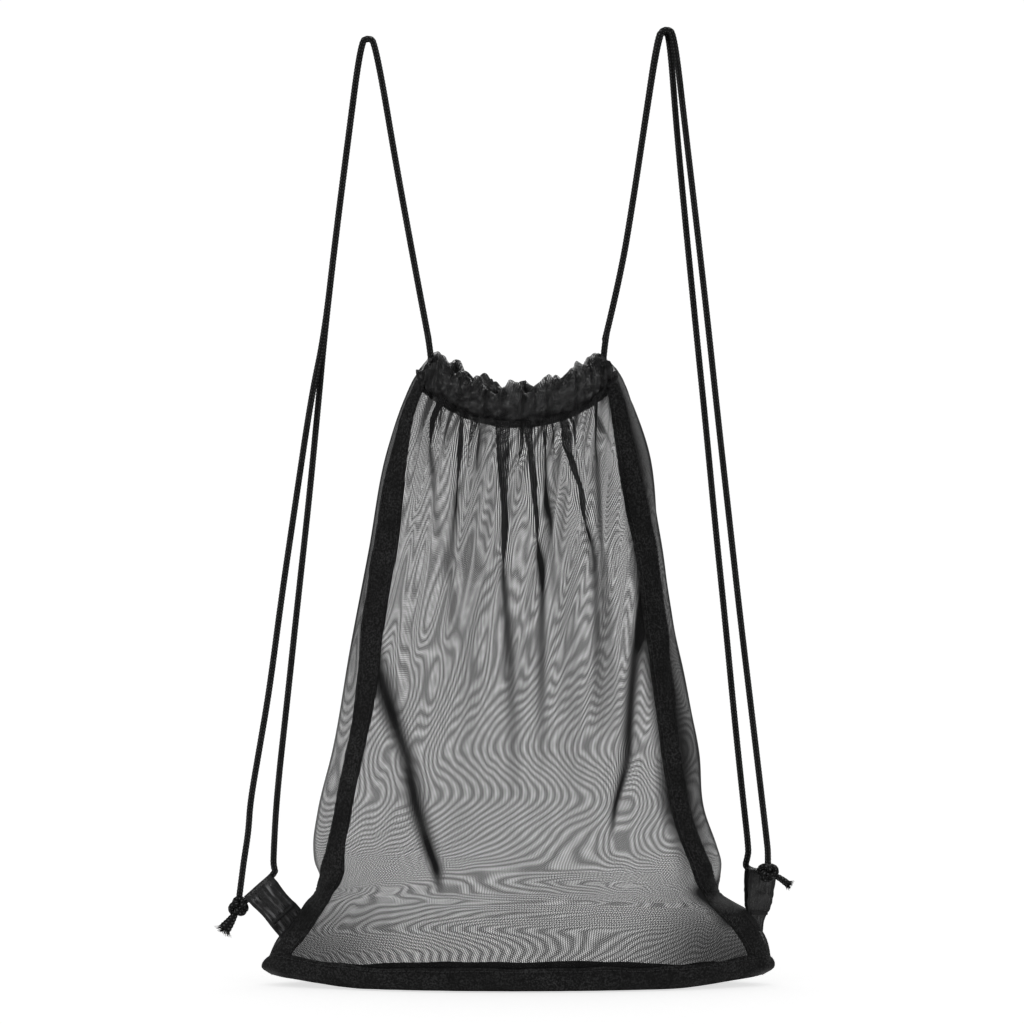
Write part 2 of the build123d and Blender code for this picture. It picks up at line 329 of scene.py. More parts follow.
def braided_tube(name, line, diameter, look, spacing=0.6 * MM, sides=24, taper=(1.0, 1.0)):
    """Round braided cord along a line in metres, as one mesh with closed and rounded ends."""
    points, distance = spaced(line, spacing)
    side, up = frames_along(points)
    angle = np.arange(sides) / sides * 2 * math.pi
    turns = angle[None, :] / (2 * math.pi) * CORD_CARRIERS
    advance = distance[:, None] * CORD_CARRIERS / CORD_GIRTH
    height = plait_height(turns + advance, turns - advance)
    to_end = np.minimum(distance, distance[-1] - distance)[:, None]
    share = (distance / distance[-1])[:, None]
    radius = diameter / 2 * (0.8 + 0.22 * height)
    radius = radius * (0.75 + 0.25 * np.clip(to_end / (1.2 * MM), 0, 1))
    radius = radius * (taper[0] * (1 - share) + taper[1] * share)
    grid = tube_rings(points, side, up, radius, sides)
    uvs = np.stack(np.meshgrid(distance, angle / (2 * math.pi), indexing="ij"), axis=-1)
    all_points = np.concatenate([grid.reshape(-1, 3), [points[0], points[-1]]])
    all_uvs = np.concatenate([uvs.reshape(-1, 2), [[0, 0], [distance[-1], 0]]])
    faces = grid_faces(len(points), sides, round_columns=True)
    first_cap = len(points) * sides
    last = first_cap - sides
    for k in range(sides):
        n = (k + 1) % sides
        faces.append([n, k, first_cap])
        faces.append([last + k, last + n, first_cap + 1])
    piece = mesh_object(name, look, all_points, faces, all_uvs)
    set_attribute(piece, "relief", np.concatenate([height.ravel(), [0.5, 0.5]]))
    return piece


def closed_faces(first, rings, sides):
    """Faces of a tube whose points start at a number, and the faces that would close its two ends."""
    faces = [[first + corner for corner in face] for face in grid_faces(rings, sides, round_columns=True)]
    last = first + (rings - 1) * sides
    return faces, list(range(first, first + sides)), list(range(last, last + sides))


def beside(points, y):
    """The same route, given as x and z, drawn in the upright plane at y."""
    return [(x, y, z) for x, z in points]


# Routes, as in the part's source. Rises and falls have x and z, and the rest x, y and z.
left_rise = [(-61.0, 446), (-79.8, 545), (-97.9, 653.2), (-103, 655.7), (-108, 653)]
left_fall = [(-117.2, 583), (-125.9, 515), (-133.3, 451)]
right_rise = [(60.6, 446), (71.6, 491), (80.4, 544), (87.9, 594)]
strand_routes = {
    "left_front": beside(left_rise + left_fall, -HALF_SPACING) + [
        (-142.4, -2.2, 408), (-152.9, -1.8, 338), (-163.2, -1.3, 269), (-171.6, -0.9, 205),
        (-179.0, -0.6, 162), (-185.2, -0.4, 126), (-186.3, -0.2, 107), (-189.2, 0, 88),
        (-189.9, 0, 83.5), (-192.9, 0, 60),
    ],
    "left_back": beside(left_rise + left_fall, HALF_SPACING) + [
        (-137.6, 2.2, 404), (-144.2, 1.8, 336), (-151.9, 1.4, 267), (-159.3, 1.0, 198),
        (-166.8, 0.6, 131), (-169.2, 0, 86.5), (-168.8, 0, 81.4), (-167.3, 0, 76.3), (-190.6, 0, 55.8),
    ],
    "right_front": beside(
        right_rise + [(98.2, 659.4), (103.5, 661.9), (108.6, 659), (116.2, 594)], -HALF_SPACING
    ) + [
        (124.3, -2.6, 526), (132.2, -2.6, 457), (139.4, -2.8, 390), (147.2, -3.2, 321),
        (154.7, -3.7, 254), (162.7, -4.4, 188), (168.8, -5.4, 137), (173.6, -6.5, 96),
        (173.9, -7.5, 91), (173.7, -12.5, 83),
    ],
    "right_back": beside(
        right_rise + [(97.4, 658.3), (101.5, 660.2), (105.4, 658), (110.4, 593)], HALF_SPACING
    ) + [
        (117.0, 2.6, 524), (123.8, 2.6, 456), (130.8, 2.7, 388), (137.3, 2.9, 320),
        (144.4, 3.2, 252), (150.8, 3.7, 186), (156.3, 4.5, 134), (160.9, 5.5, 93.5),
        (160.4, 6.2, 88.5), (157.9, 8.5, 78.6), (179.8, -8.6, 76.8), (175.5, -13.5, 78.5),
    ],
}


def swing_with(piece, side):
    """Bakes the piece's placement into its points. The hinge of its strap is looked up and an outward
    direction worked out, but neither is used.
    """
    hinge = next(joint for joint in frame["joints"] if joint["child"] == side + "_strap")
    axis = Vector(hinge["axis"])
    outward = Vector((-1 if side == "left" else 1, 0, 0))
    outward = (outward - axis * outward.dot(axis)).normalized()
    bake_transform(piece)


braid = cord_look()
strands = {}
for strand, route in strand_routes.items():
    line = centreline(strand, route)
    strands[strand] = braided_tube(strand + "_cord", line, CORD * MM, braid), line

# ---- shape of the filled bag

outline = [  # height, left edge, right edge
    (0, -172, 173), (8, -175.5, 176), (20, -172, 176), (32, -166.5, 173), (42, -158, 167),
    (52, -150, 160), (57, -145, 151), (63, -138.5, 141.5), (74, -137, 141), (85, -140.5, 142),
    (96, -141.5, 139), (120, -138.5, 130.5), (163, -128, 126), (232, -116, 112), (301, -103, 101),
    (371, -90, 90), (405, -78.5, 79), (420, -71.5, 73), (436, -61, 62),
]
seams = [  # height, middle of the left tape, middle of the right tape
    (2, -168, 169), (12, -168.5, 170), (24, -162.5, 167.5), (32, -156.5, 164), (41, -149.5, 158),
    (52, -142.5, 148), (62, -135.5, 137.5), (72, -130.5, 131.5), (85, -127, 127), (104, -123.5, 119),
    (145, -115, 109.5), (197, -105, 102.5), (247, -100, 96.5), (304, -91.5, 89.5), (360, -83, 78),
    (392, -76, 72), (418, -66, 66),
]
depths = [  # height, half depth
    (0, 57), (20, 61), (56, 64), (105, 61), (165, 54),
    (235, 45), (305, 37), (360, 31), (395, 28), (436, 26),
]
tape_widths = [  # height, width of the left tape, width of the right tape as they lie on the bag
    (0, 17, 18), (30, 19, 20), (50, 22, 24), (75, 25, 20), (96, 16, 17), (120, 14.5, 17),
    (180, 15.5, 17), (240, 18, 18.5), (330, 18.5, 19), (372, 13.5, 16), (398, 10, 13), (419, 7.5, 10),
]
left_edge = through(outline, 1)
right_edge = through(outline, 2)
seam_x = {"left": through(seams, 1), "right": through(seams, 2)}
tape_width = {"left": through(tape_widths, 1), "right": through(tape_widths, 2)}
half_depth = through(depths, 1)


def droop(x):
    """Height that the mouth gains at a distance x from its middle."""
    return DROOP_RADIUS - np.sqrt(DROOP_RADIUS**2 - np.clip(x, -85, 85) ** 2)


def corner_lift(x):
    """Height of the bottom edge above the floor, which it leaves at the two corners."""
    return 6.0 * smooth_step(np.abs(x), 105, 177)


def span_at(height):
    """Middle and half of the bag's width."""
    left, right = left_edge(height), right_edge(height)
    return (left + right) / 2, (right - left) / 2


def on_bag(angle, height, out=0.0):
    """Points of the filled bag in millimetres. Angle 0 is its right edge, a quarter turn its back, a half
    turn its left edge and three quarters its front. out is a distance outward from the fabric."""
    middle, half = span_at(height)
    crown = half_depth(height)
    pinch = 1 + 0.45 * (1 - smooth_step(height, 18, 85))
    x = half * np.cos(angle)
    y = crown * np.sign(np.sin(angle)) * np.abs(np.sin(angle)) ** pinch
    across = np.cos(angle) / half
    along = np.sin(angle) / crown
    out = out / np.hypot(across, along)
    return np.stack([middle + x + out * across, y + out * along, height + np.zeros_like(x)], axis=-1)


def angle_at(x, height, facing):
    """Angle at which the front or the back of the bag has this x."""
    middle, half = span_at(height)
    turn = np.arccos(np.clip((x - middle) / half, -1, 1))
    return 2 * math.pi - turn if facing == "front" else turn


def seam_angle(side, height):
    """Angle of a side seam, which lies on the front of the bag."""
    return angle_at(seam_x[side](height), height, "front")


def panel_edges(facing, height):
    """Angles of a panel's left and right edges, counted the way that the panel runs between them."""
    left, right = seam_angle("left", height), seam_angle("right", height)
    return left, right if facing == "front" else right - 2 * math.pi


def half_turn(facing, margin):
    """Angles between which the front or the back lies, less a margin at each side."""
    start = math.pi if facing == "front" else 0.0
    return start + margin, start + math.pi - margin


# ---- net panels

# Pleats, which run up to the casing: height, x, how far the cloth overlaps itself, how close its threads lie.
front_pleats = [
    [(325, -60, 0, 0), (350, -61.5, 1, 0.2), (374, -62, 3, 0.25), (403, -55, 4, 0.3)],
    [(345, -57, 0, 0), (380, -54, 2, 0.15), (402, -49, 3, 0.25)],
    [(300, -46, 0, 0), (330, -42.5, 1.5, 0.2), (362, -40, 3, 0.25), (398, -38, 4, 0.3)],
    [(340, -28, 0, 0), (375, -27, 1, 0.1), (398, -26, 1.5, 0.15)],
    [(240, -5.5, 0, 0), (285, -8, 1, 0.15), (330, -9, 4, 0.1), (391, -9, 9.5, 0.1)],
    [(265, 16.8, 0, 0), (300, 15, 1, 0.15), (340, 11, 3.5, 0.12), (391, 8.5, 6.5, 0.1)],
    [(310, 22.5, 0, 0), (350, 19, 1, 0.2), (391, 18, 3.5, 0.2)],
    [(275, 53.5, 0, 0), (300, 51, 1.5, 0.2), (343, 43.5, 4, 0.2), (394, 30.5, 6, 0.2)],
    [(320, 58, 0, 0), (350, 56.5, 1.5, 0.2), (405, 54, 3.5, 0.3)],
    [(345, 90, 0, 0), (362, 83, 1, 0.2), (377, 77, 3, 0.3), (389, 67, 6, 0.25), (408, 56, 8, 0.25)],
]
back_pleats = [
    [(335, -67, 0, 0), (378, -59, 2, 0.1), (408, -50, 5, 0.1)],
    [(330, -34, 0, 0), (370, -33, 2, 0.08), (398, -27, 4, 0.1)],
    [(340, 2, 0, 0), (370, 3, 2, 0.08), (398, 1, 4, 0.1)],
    [(350, 28, 0, 0), (378, 26, 2, 0.08), (398, 24, 3, 0.1)],
    [(335, 44, 0, 0), (370, 41, 2, 0.08), (402, 36, 4, 0.1)],
    [(335, 70, 0, 0), (380, 63, 2, 0.1), (410, 54, 5, 0.1)],
]
# Soft creases in one layer of cloth: height, x, half width, and how close the threads lie.
front_creases = [
    [(240, -41, 4, 0), (267, -45, 3.5, 0.25), (301, -52.7, 3, 0.35), (357, -61.7, 2.4, 0.8),
     (395, -62, 2, 0.6)],
    [(235, -49, 4, 0), (275, -47, 3.6, 0.25), (300, -46, 3.2, 0.45), (336, -42, 2.8, 0.85),
     (385, -39.5, 2.2, 0.7)],
    [(130, -1.5, 5, 0), (197, -3.5, 4, 0.5), (239, -5.5, 3.2, 0.8), (308, -9, 3, 0.92),
     (385, -6.5, 1.6, 0.8)],
    [(150, 17.5, 5, 0), (225, 16.6, 3.6, 0.7), (281, 16.6, 3, 0.9), (336, 11, 2.4, 0.8),
     (385, 10.5, 1.6, 0.7)],
    [(235, 32, 4, 0), (290, 25.5, 3, 0.3), (322, 21.5, 2.6, 0.5), (350, 18.5, 2, 0.75),
     (385, 18, 1.6, 0.7)],
    [(160, 57, 5, 0), (239, 55.4, 3.8, 0.6), (294, 52, 3, 0.85), (343, 43.7, 2.4, 0.7),
     (385, 33.5, 1.8, 0.6)],
    [(170, 65, 5, 0), (239, 61.7, 4, 0.45), (294, 59, 3, 0.65), (350, 56, 2.6, 0.7),
     (391, 55.4, 2, 0.6)],
    [(140, -34, 8, 0), (215, -32, 7, 0.16), (300, -29, 6, 0.14), (345, -28, 4, 0)],
    [(130, 38, 8, 0), (205, 37, 7, 0.16), (290, 36, 6, 0.12), (345, 33, 4, 0)],
]
back_creases = [
    [(58, -52, 2.8, 0), (68, -55, 3.6, 0.7), (105, -67, 6.6, 0.95), (150, -82, 8.2, 0.97),
     (195, -97, 8, 0.97), (214, -103.5, 6, 0.8), (234, -110, 4, 0)],
    [(92, 66, 1.8, 0), (104, 67.5, 2.4, 0.7), (145, 75, 4.2, 0.95), (172, 81.5, 4.8, 0.95),
     (200, 86.5, 4.6, 0.95), (228, 90, 4, 0.9), (248, 92, 3, 0)],
]
NET_LEVELS = (10, 394)  # heights between which a panel's rows of cloth are spread
front_waves = [  # length along the cloth, height, phase, and drift from the bottom to the top, in radians
    (35.0, 3.2, 0.6, 1.5), (21.0, 1.9, 2.1, -1.2), (90.0, 2.8, 1.0, 2.0),
]
back_waves = [(39.0, 3.0, 2.6, -1.4), (24.0, 1.7, 0.4, 1.6), (110.0, 2.8, 3.0, -2.0)]


def pleat_shift(along, centre, overlap):
    """Shift along the cloth, distance out of it, and closeness to the pleat, where it folds over itself."""
    fold = 2.4 + 0.22 * overlap
    strength = float(smooth_step(overlap, 0, 3.5))
    peak_at, peak = 0.707, 0.429  # where q * exp(-q * q) is largest, and how large
    throw = strength * (overlap / 2 + peak_at * fold) / peak
    q = (along - centre) / fold
    close = np.exp(-q * q)
    shift = -throw * q * close
    out = strength * (1.5 * q * np.exp(-q * q / 3) + (0.8 + 0.12 * overlap) * np.exp(-q * q / 5))
    return shift, out, close


def folds(along, level, pleats, creases, crossing):
    """Shift along the cloth, distance out of it, and how close its threads lie, along one row of a panel.
    crossing says how far along the row is at some x."""
    shift, out, apart = np.zeros(len(along)), np.zeros(len(along)), np.ones(len(along))
    for pleat in pleats:
        heights, places, overlaps, shades = np.array(pleat, float).T
        shade = np.interp(level, heights, shades, left=0)
        if shade > 0:
            overlap = np.interp(level, heights, overlaps, left=0)
            fold = pleat_shift(along, crossing(np.interp(level, heights, places)), overlap)
            shift += fold[0]
            out += fold[1]
            apart *= 1 - shade * fold[2]
    for crease in creases:
        if crease[0][0] < level < crease[-1][0]:
            q = (along - crossing(through(crease, 1)(level))) / through(crease, 2)(level)
            shade = np.clip(through(crease, 3)(level), 0, 1)
            out += 1.6 * shade * np.exp(-q * q / 2)
            apart *= 1 - shade * np.exp(-np.abs(q) ** 2.5)
    return shift, out, 1 - apart


def turned_away(row, plain):
    """How far each part of a row has turned from the plain cloth: 0 along it and 1 square to it."""
    run, base = np.gradient(row, axis=0), np.gradient(plain, axis=0)
    sizes = np.sqrt((run**2).sum(axis=1) * (base**2).sum(axis=1) + 1e-12)
    return 1 - np.abs((run * base).sum(axis=1)) / sizes


def side_shades(angle, height):
    """How much closer the net looks where the bag turns away at its two sides."""
    to_right = np.cos(angle)
    rim = 0.45 * smooth_step(np.abs(to_right), 0.984, 0.998)
    right = smooth_step(to_right, 0.74, 0.84) * (1 - 0.45 * smooth_step(to_right, 0.9, 0.98))
    right = 0.85 * right * smooth_step(height, 50, 130)
    left = smooth_step(-to_right, 0.82, 0.95) * (0.08 + 0.42 * smooth_step(height, 170, 300))
    tuck = smooth_step(to_right, 0.8, 0.92) * smooth_step(-np.sin(angle), -0.3, 0.05)
    tuck = tuck * (smooth_step(height, 38, 46) - smooth_step(height, 66, 78))
    return rim + right + left + tuck


def low_shades(x, height):
    """How much closer the net is made near the floor, most of all in the two corners: painted shade that
    darkens the net towards the floor and in the corners.
    """
    # Painted shade: the net is closed up in the bottom corners and a little all along the bottom.
    corners = (0.36 + 0.18 * smooth_step(x, 60, 120)) * smooth_step(np.abs(x), 60, 145)
    return corners * (1 - smooth_step(height, 15, 80)) + 0.08 * (1 - smooth_step(height, 20, 110))


def net_row(facing, pleats, creases, waves, across, share):
    """One row of a panel, at a share of its height, and how closed the net is along it."""
    level = NET_LEVELS[0] + (NET_LEVELS[1] - NET_LEVELS[0]) * share
    start, end = panel_edges(facing, level)
    angles = np.linspace(start, end, 320)
    order = np.argsort(angles)
    reach = distances(on_bag(angles, level))
    along = across * reach[-1]

    def crossing(x):
        return np.interp(angle_at(x, level, facing), angles[order], reach[order])

    shift, out, close = folds(along, level, pleats, creases, crossing)
    # Slow waves, which grow towards the casing, and small gathers right under it.
    fall = float(smooth_step(share, 0.25, 0.95))
    for length, size, phase, drift in waves:
        turn = 2 * math.pi * along / length + phase + drift * share
        out += size * (0.35 + 0.65 * fall) * np.sin(turn)
        shift += 0.25 * size * fall * np.sin(2 * turn)
    gathers = float(smooth_step(share, 0.86, 1.0))
    out += 1.6 * gathers * np.sin(2 * math.pi * along / 8.3 + 3 * np.sin(along / 19.0))
    # The cloth lies still along its seams and its lower edge, and calmly round the sides of the bag.
    held = smooth_step(np.minimum(along, reach[-1] - along), 0, 16) * float(smooth_step(share, 0.0, 0.06))
    calm = 1 - 0.8 * smooth_step(np.abs(np.cos(np.interp(along, reach, angles))), 0.8, 0.97)
    angle = np.interp(along + shift * held, reach, angles)
    # The row runs between the two seams at its own height, which follows the casing and the bottom edge.
    x = on_bag(angle, level)[:, 0]
    foot = corner_lift(x) + NET_TUCK
    head = CASING_MIDDLE + droop(x) - CASING_HALF_HEIGHT + NET_TUCK
    height = foot + (head - foot) * share
    left, right = panel_edges(facing, height)
    angle = left + (right - left) * (angle - start) / (end - start)
    row = on_bag(angle, height, out * held * calm)
    folded = 0.8 * smooth_step(turned_away(row, on_bag(angle, height)), 0.06, 0.5)
    closed = close + folded + 0.06 * gathers + side_shades(angle, height) + low_shades(x, height)
    return row, closed


def net_panel(name, facing, look, pleats, creases, waves, size, columns, rows=150):
    """One net panel, from seam to seam, gathered into the casing above and held by the band below. size is
    the width and height of its cloth in metres, along which the pattern of the net runs."""
    across = np.linspace(0, 1, columns)
    shares = np.linspace(0, 1, rows)
    made = [net_row(facing, pleats, creases, waves, across, share) for share in shares]
    grid = np.array([row for row, _ in made])
    piece = cloth(name, look, grid, across * size[0], shares * size[1])
    set_attribute(piece, "gather", [closed for _, closed in made])
    return piece


def net_look(name, pitch, turn, roughness=0.55, specular=0.1):
    """Black polyester net: small round holes in a honeycomb, closed up where the cloth gathers."""
    look = Look(name, (0.008, 0.008, 0.009), roughness, specular)
    across, up = look.uv()
    waves = []
    for step in range(3):
        angle = turn + step * math.pi / 3
        rightward = look.times(across, 2 * math.pi / pitch * math.cos(angle))
        upward = look.times(up, 2 * math.pi / pitch * math.sin(angle))
        waves.append(look.math("COSINE", look.math("ADD", rightward, upward)))
    ribs = look.times(waves[0], 1.5)
    bars = look.times(look.math("ADD", waves[1], waves[2]), 0.75)
    holes = look.math("ADD", ribs, bars)
    thread = look.remap(holes, -0.78, 0.12, 0.92, 0.07, smooth=True)
    patchy = look.remap(look.noise(16.0, 2.0), 0.3, 0.7, -0.03, 0.05)
    closed = look.math("ADD", look.attribute("gather"), patchy)
    mix = {0: closed, 2: thread, 3: 1.0}
    cover = look.node("ShaderNodeMix", mix, data_type="FLOAT", clamp_factor=True)
    look.feed(look.shader.inputs["Alpha"], cover.outputs[0])
    look.bump(holes, -0.0002, 0.5)
    look.tint(look.noise(110.0, 3.0), (0.003, 0.003, 0.003), (0.012, 0.012, 0.0125))
    return look.material


# ---- seam tapes and bottom band


def rumple(points, size, height, seed):
    """Seeded uneven push for each point, in the units of the points."""
    offset = Vector((seed * 17.3, seed * 5.1, seed * 9.7))
    pushes = [noise.noise(Vector(point) / size + offset) * height for point in points.reshape(-1, 3)]
    return np.array(pushes).reshape(points.shape[:-1])


def tape_look(name, rib):
    """Matt black binding tape with fine ribs across it and worn edges."""
    look = Look(name, (0.005, 0.005, 0.005), 0.6, 0.08)
    across, along = look.uv()
    weave = look.times(look.wave(along, rib), look.wave(across, rib * 1.7))
    low = look.bump(weave, 0.00012, 0.9)
    look.bump(look.noise(140.0, 4.0), 0.0012, 0.6, below=low)
    fluff = look.remap(look.noise(800.0, 2.0), 0.44, 0.66)
    wear = look.remap(look.noise(45.0, 4.0), 0.3, 0.7, 0.25, 1.0)
    look.tint(look.times(fluff, wear), (0.002, 0.002, 0.002), (0.027, 0.027, 0.0275))
    return look.material


def thicken(piece, thickness):
    """Gives a sheet its thickness, outward."""
    solid = piece.modifiers.new("thickness", "SOLIDIFY")
    solid.thickness = thickness * MM
    solid.offset = 1
    return piece


TAPE_THICKNESS = 0.9
BAND_THICKNESS = 0.7
BAND_OUT = 2.6  # how far the band's inner face stands out from the net


def side_tape_points(side, heights, places, out):
    """Points on a side tape: places run across it in widths from its middle, positive towards the front."""
    rows = []
    for height, spots in zip(heights, np.broadcast_to(places, (len(heights), len(places)))):
        spots = spots * tape_width[side](height)
        angle = seam_angle(side, height)
        step = 0.02
        ahead, behind = on_bag(angle + step, height), on_bag(angle - step, height)
        speed = np.linalg.norm(ahead - behind) / (2 * step)
        inward = 1 if side == "left" else -1
        angles = angle + inward * spots / speed
        rows.append(on_bag(angles, height + np.zeros(len(places)), out))
    return np.array(rows)


def tape_push(points, heights, place):
    """How far a side tape stands out: crowned across its width, with seeded rumples and a slow tilt."""
    crown = 0.7 * (1 - (2 * place) ** 2)
    tilt = 0.6 * np.sin(heights / 11.0 + 2 * np.sin(heights / 37.0)) * place
    return crown + rumple(points, 26.0, 1.5, 3) + rumple(points, 7.0, 0.45, 5) + tilt


def side_tape(name, side, look):
    """Tape over one side seam, from inside the casing down to the bottom corner."""
    heights = np.linspace(13, 419, 190)
    places = np.linspace(-0.5, 0.5, 15)
    grid = side_tape_points(side, heights, places, 1.0)
    out = side_tape_points(side, heights, places, 2.0) - grid
    grid = grid + out * tape_push(grid, heights[:, None], places)[..., None]
    piece = cloth(name, look, grid, places * TAPE_WIDTH * MM, heights * MM)
    return thicken(piece, TAPE_THICKNESS)


def band_points(angles, share, out):
    """Points on the bottom band, at a share of its height above its lower edge."""
    flat = on_bag(angles, 8.0)
    x = flat[:, 0]
    tall = BAND_HEIGHT * (1 - 0.42 * smooth_step(np.sin(angles), -0.3, 0.8))
    height = corner_lift(x) + 0.4 + share * tall
    roll = 2.4 * (1 - smooth_step(share, 0.0, 0.35)) + 1.0 * smooth_step(share, 0.8, 1.0)
    roll = roll + 5.0 * smooth_step(np.abs(x), 160, 178) * ((share - 0.5) / 0.5) ** 2
    return on_bag(angles, height, out - roll)


def rumpled_band(angles, share):
    """Points of the band's inner face, with its seeded rumples."""
    ring = band_points(angles, share, BAND_OUT)
    ring[:, 2] += rumple(ring, 24.0, 1.6, 8) * share
    sway = rumple(ring, 38.0, 2.2, 13) * math.sin(math.pi * share)
    ring[:, 1] += 0.6 * rumple(ring, 9.0, 1.2, 11) + sway
    return ring


def bottom_band(name, look):
    """Tape round the bottom edge, carried under the bag as its base."""
    angles = np.linspace(0, 2 * math.pi, 361)[:-1]
    shares = np.linspace(1, 0, 10)
    rings = [rumpled_band(angles, share) for share in shares]
    rim = rings[-1]
    for share in (0.96, 0.88, 0.75, 0.6, 0.45, 0.3, 0.15, 0.0):
        ring = rim.copy()
        ring[:, 1] = rim[:, 1] * share
        ring[:, 2] = rim[:, 2] + 0.35 + 0.5 * (1 - share) + np.abs(rumple(ring, 30.0, 1.2, 17))
        rings.append(ring)
    grid = np.array(rings)
    reach = distances(grid[0], closed=True)[:-1]
    base_drop = np.array([2, 6, 13, 21, 30, 39, 47, 56])
    drop = np.concatenate([(1 - shares) * BAND_HEIGHT, BAND_HEIGHT + base_drop])
    piece = cloth(name, look, grid, reach * MM, drop * MM, round_columns=True)
    return thicken(piece, BAND_THICKNESS)


# ---- casing

MOUTH_RADIUS = 46.0  # of a circle about as long as the casing's middle line
casing_profile = [  # share of the way round the tunnel, distance out, height
    (0.0, 0.5, -13.5), (0.07, 0.9, -11.2), (0.12, 1.1, -9.6), (0.19, 3.4, -6.2), (0.27, 4.7, -1.5),
    (0.34, 4.5, 3.0), (0.40, 3.5, 7.0), (0.45, 2.2, 10.5), (0.48, 1.2, 12.8), (0.5, 0.0, 13.6),
    (0.52, -1.2, 12.8), (0.55, -2.2, 10.5), (0.60, -3.5, 7.0), (0.66, -4.5, 3.0), (0.73, -4.7, -1.5),
    (0.81, -3.4, -6.2), (0.88, -1.1, -9.6), (0.93, -0.9, -11.2), (1.0, -0.5, -13.5),
]
casing_out = through(casing_profile, 1)
casing_rise = through(casing_profile, 2)
crest = through(
    [  # x, how far the ruffled top edge stands above or below an even one
        (-74, -26), (-66, -17), (-62.5, -8), (-60, 0), (-56, 6.5), (-48.5, 7.5), (-43.7, 1),
        (-38.8, 4.7), (-31.9, 1.5), (-27, 4.9), (-20.8, -2.5), (-14.6, -3.5), (-10, 1), (-4.2, 5.7),
        (1.5, 3), (5.5, -2.5), (10.4, 0.5), (16, 4), (22.9, 6.5), (27.7, 3), (35, 4), (43, 9.6),
        (47.8, 4.5), (56, 6.5), (60, 1), (62.5, -7), (66, -16), (74, -26),
    ],
    1,
)


def outward_at(angle):
    """Directions out of the casing's middle line, seen from above."""
    width, deep = CASING_RING
    return unit(np.stack([np.cos(angle) / width, np.sin(angle) / deep], axis=-1))


def casing_points(angle, turn, seed):
    """Points of the casing's cloth: angle round the mouth, and turn once round the tunnel of the cords."""
    along = 2 * math.pi * angle * MOUTH_RADIUS
    bend = along / 7.4 + 1.7 * np.sin(along / 39 + seed)
    drift = 2.2 * np.sin(2 * math.pi * turn + 0.9 * seed) + 1.3 * np.sin(along / 23 + 6 * turn)
    cross = np.sin(along / 9.7 + drift) * np.sin(along / 31 + 5 * turn)
    ripple = 0.45 * np.sin(bend) + 0.55 * cross
    rise = casing_rise(turn)
    crown = smooth_step(rise, 1.0, 13.5)
    hem = 1 - smooth_step(rise, -12.0, -4.0)
    out = casing_out(turn) + ripple * (1.5 + 1.6 * crown - 0.9 * hem)
    lean = 0.45 * np.sin(bend + 1.2)
    angle = angle + lean * (0.6 + crown) * 1.9 / MOUTH_RADIUS
    width, deep = CASING_RING
    x = width * np.cos(angle)
    y = deep * np.sin(angle)
    outward = outward_at(angle)
    edge = crest(x if seed == 1 else -x)
    height = CASING_MIDDLE + droop(x) + rise + crown * edge
    return np.stack([x + out * outward[..., 0], y + out * outward[..., 1], height], axis=-1)


def crumple(points, crown, seed):
    """Adds the casing's seeded crumples to its points, most of them along its crown."""
    push = rumple(points, 5.5, 3.4, seed) + rumple(points, 2.6, 1.7, seed + 4)
    points[..., 1] += push * (0.7 + 0.6 * crown)
    points[..., 2] += rumple(points, 6.0, 2.2, seed + 9) * (0.25 + crown)


casing_seeds = {"front": 1, "back": 2}


def casing_net(name, facing, look):
    """One half of the casing: the panel's top edge folded over the cords, sewn down and gathered."""
    seed = casing_seeds[facing]
    angles = np.linspace(*half_turn(facing, 0.10), 330)
    turns = np.linspace(0, 1, 46)
    angle, turn = np.meshgrid(angles, turns)
    grid = casing_points(angle, turn, seed)
    crumple(grid, smooth_step(casing_rise(turns), 2.0, 13.0)[:, None], seed)
    cloth_per_radian, cloth_height = 0.12, 0.058  # in metres
    piece = cloth(name, look, grid, (angles - angles[0]) * cloth_per_radian, turns * cloth_height)
    thin = smooth_step(casing_rise(turn), 8.5, 13.0) * smooth_step(crest(grid[..., 0]), 1.5, 5.5)
    holes = smooth_step(rumple(grid, 7.0, 1.0, seed + 30), 0.22, 0.5)
    set_attribute(piece, "gather", 0.93 - 0.8 * thin - 0.3 * holes)
    return piece


# ---- stitching


def thread_look():
    """Shiny black sewing thread."""
    look = Look("sewing_thread", (0.006, 0.006, 0.006), 0.45, 0.2)
    inputs = {"Scale": 900.0, "Distortion": 2.0, "Vector": look.position()}
    twist = look.node("ShaderNodeTexWave", inputs, bands_direction="DIAGONAL")
    look.bump(twist.outputs[0], 0.00006, 0.6)
    look.tint(look.noise(300.0), (0.003, 0.003, 0.003), (0.01, 0.01, 0.0105))
    return look.material


def stitched(name, seam_runs, look, length=2.5, gap=0.9, radius=0.28):
    """One mesh of sewn stitches along runs of points with an outward direction at each point."""
    sides = 6
    shares = np.array([0, 0.12, 0.5, 0.88, 1])
    widths = np.array([0.55, 0.95, 1.0, 0.95, 0.55])[:, None]
    lifts = np.array([-0.25, 0.12, 0.25, 0.12, -0.25])[:, None]
    points, faces = [], []
    for line, outward in seam_runs:
        reach = distances(line)
        for start in np.arange(gap, reach[-1] - length, length + gap):
            at = start + shares * length
            middle = points_at(at, reach, line)
            up = unit(points_at(at, reach, outward))
            side = unit(np.cross(middle[-1] - middle[0], up[2]))
            tube, near, far = closed_faces(len(points), len(shares), sides)
            faces += tube + [near, far[::-1]]
            flat = np.tile(side, (len(shares), 1))
            made = tube_rings(middle + up * lifts, flat, up, widths * radius, sides)
            points.extend(made.reshape(-1, 3))
    return mesh_object(name, look, np.array(points) * MM, faces)


